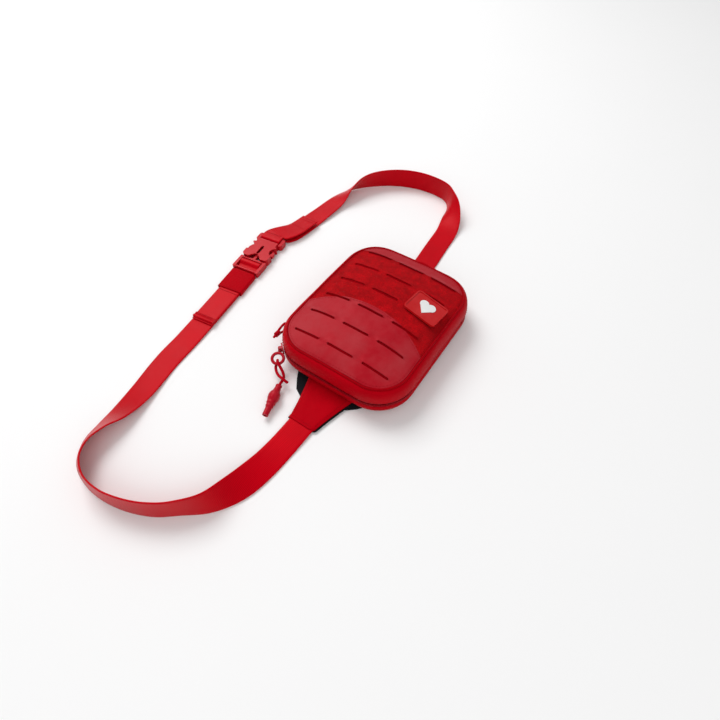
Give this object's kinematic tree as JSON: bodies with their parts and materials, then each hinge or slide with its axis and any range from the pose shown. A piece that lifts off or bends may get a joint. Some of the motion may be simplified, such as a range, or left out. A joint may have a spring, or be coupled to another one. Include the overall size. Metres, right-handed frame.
{
  "type": "sling first aid pouch",
  "caption": "Zipped clamshell first aid pouch with a slotted front, held by hook and loop on a sling carrier with an adjustable strap and side release buckle.",
  "frame": {"origin": "middle of the carrier's flat back face, on the surface that the part lies on", "axes": "+X across the pouch, +Y towards the grab handle, +Z out of the pouch's front"},
  "size_m": [0.2669, 0.515, 0.0503],
  "materials": {
    "mesh_black": "open spacer mesh, matt",
    "foam": "closed cell foam, hidden",
    "nylon_black": "plain woven nylon, matt",
    "loop_black": "brushed loop pile, matt",
    "hook_black": "moulded hook tape, matt",
    "nylon_red": "woven nylon, low sheen",
    "webbing_red": "ribbed nylon webbing with a satin sheen",
    "elastic_red": "woven elastic, low sheen",
    "buckle_red": "moulded acetal, semi gloss",
    "stiffener": "polyethylene sheet, hidden",
    "lining": "smooth nylon lining, low sheen",
    "elastic_black": "woven elastic, matt",
    "binding_red": "grosgrain binding, matt",
    "zipper_tape": "woven zipper tape, matt",
    "zipper_coil": "nylon coil, satin",
    "loop_red": "brushed loop pile, velvety",
    "coated_red": "coated laminate, soft satin",
    "thread_red": "bonded thread",
    "slider_red": "painted die cast, satin",
    "cord_red": "braided cord",
    "pull_red": "moulded elastomer, semi gloss",
    "patch_red": "moulded soft PVC, glossy",
    "patch_white": "moulded soft PVC, glossy"
  },
  "bodies": {
    "carrier": {"carrier_back": "mesh_black", "carrier_foam": "foam", "carrier_front": "nylon_black", "carrier_loop_field": "loop_black", "carrier_binding": "nylon_black", "wing_backing": "nylon_black", "wing_front": "nylon_red", "strap_upper": "webbing_red", "strap_upper_fold": "webbing_red", "strap_upper_wrap": "webbing_red", "strap_lower": "webbing_red", "strap_lower_wrap": "webbing_red", "strap_tail": "webbing_red", "tail_hem": "webbing_red", "buckle_female": "buckle_red", "buckle_male": "buckle_red"},
    "pouch": {"back_shell": "nylon_red", "back_hook_panel": "hook_black", "back_stiffener": "stiffener", "back_lining": "lining", "elastic_loops": "elastic_black", "back_mesh_pocket": "mesh_black", "back_pocket_binding": "binding_red", "zipper_tape_back": "zipper_tape", "zipper_coil_back": "zipper_coil", "spine_hinge": "nylon_red"},
    "lid": {"zipper_tape_lid": "zipper_tape", "zipper_coil_lid": "zipper_coil", "lid_gusset": "nylon_red", "lid_piping": "binding_red", "lid_face_base": "nylon_red", "lid_foam": "foam", "lid_lining": "lining", "lid_mesh_pocket": "mesh_black", "lid_pocket_binding": "binding_red", "loop_field": "loop_red", "top_band": "coated_red", "lower_panel": "coated_red", "grab_handle": "webbing_red", "handle_bartacks": "thread_red"},
    "patch": {"patch_hook": "hook_black", "patch_body": "patch_red", "patch_border": "patch_red", "patch_emblem": "patch_white"},
    "slider_left": {"slider_left": "slider_red"},
    "pull_left": {"pull_tab_left": "slider_red", "pull_loop_left": "cord_red"},
    "slider_corner": {"slider_corner": "slider_red"},
    "pull_corner": {"pull_tab_corner": "slider_red", "pull_ring_corner": "pull_red", "pull_cord_corner": "cord_red", "pull_end_corner": "pull_red"},
    "prong_left": {"buckle_prong_left": "buckle_red"},
    "prong_right": {"buckle_prong_right": "buckle_red"},
    "keeper": {"elastic_keeper": "elastic_red"}
  },
  "joints": [
    {"name": "pouch_lift_off", "type": "slide", "parent": "carrier", "child": "pouch", "axis": [0, 0, 1], "range_m": [0, 0.06]},
    {"name": "lid_open", "type": "hinge", "parent": "pouch", "child": "lid", "pos_m": [0.0718, 0, 0.016], "axis": [0, 1, 0], "range_deg": [0, 135]},
    {"name": "patch_peel", "type": "slide", "parent": "lid", "child": "patch", "axis": [0.1786, 0.0915, 0.9797], "range_m": [0, 0.04]},
    {"name": "slider_left_travel", "type": "slide", "parent": "pouch", "child": "slider_left", "axis": [0, 1, 0], "range_m": [0, 0.088]},
    {"name": "pull_left_swing", "type": "hinge", "parent": "slider_left", "child": "pull_left", "pos_m": [-0.0747, -0.048, 0.016], "axis": [0, 0, 1], "range_deg": [-140, 0]},
    {"name": "slider_corner_travel", "type": "hinge", "parent": "pouch", "child": "slider_corner", "pos_m": [-0.033, -0.049, 0.016], "axis": [0, 0, 1], "range_deg": [0, 40]},
    {"name": "pull_corner_swing", "type": "hinge", "parent": "slider_corner", "child": "pull_corner", "pos_m": [-0.06036, -0.08047, 0.016], "axis": [0, 0, 1], "range_deg": [-84, 0]},
    {"name": "prong_left_squeeze", "type": "hinge", "parent": "carrier", "child": "prong_left", "pos_m": [-0.18317, 0.00678, 0.005], "axis": [0, 0, -1], "range_deg": [0, 9], "stiffness_Nm_per_rad": 0.05},
    {"name": "prong_right_squeeze", "type": "hinge", "parent": "carrier", "child": "prong_right", "pos_m": [-0.16375, 0.0094, 0.005], "axis": [0, 0, 1], "range_deg": [0, 9], "stiffness_Nm_per_rad": 0.05},
    {"name": "keeper_slide", "type": "slide", "parent": "carrier", "child": "keeper", "axis": [0.1564, -0.9877, 0], "range_m": [0, 0.02]}
  ],
  "couplings": [
    {"joint": "pull_corner_swing", "follows": "slider_corner_travel", "ratio": -2},
    {"joint": "prong_right_squeeze", "follows": "prong_left_squeeze", "ratio": 1}
  ]
}
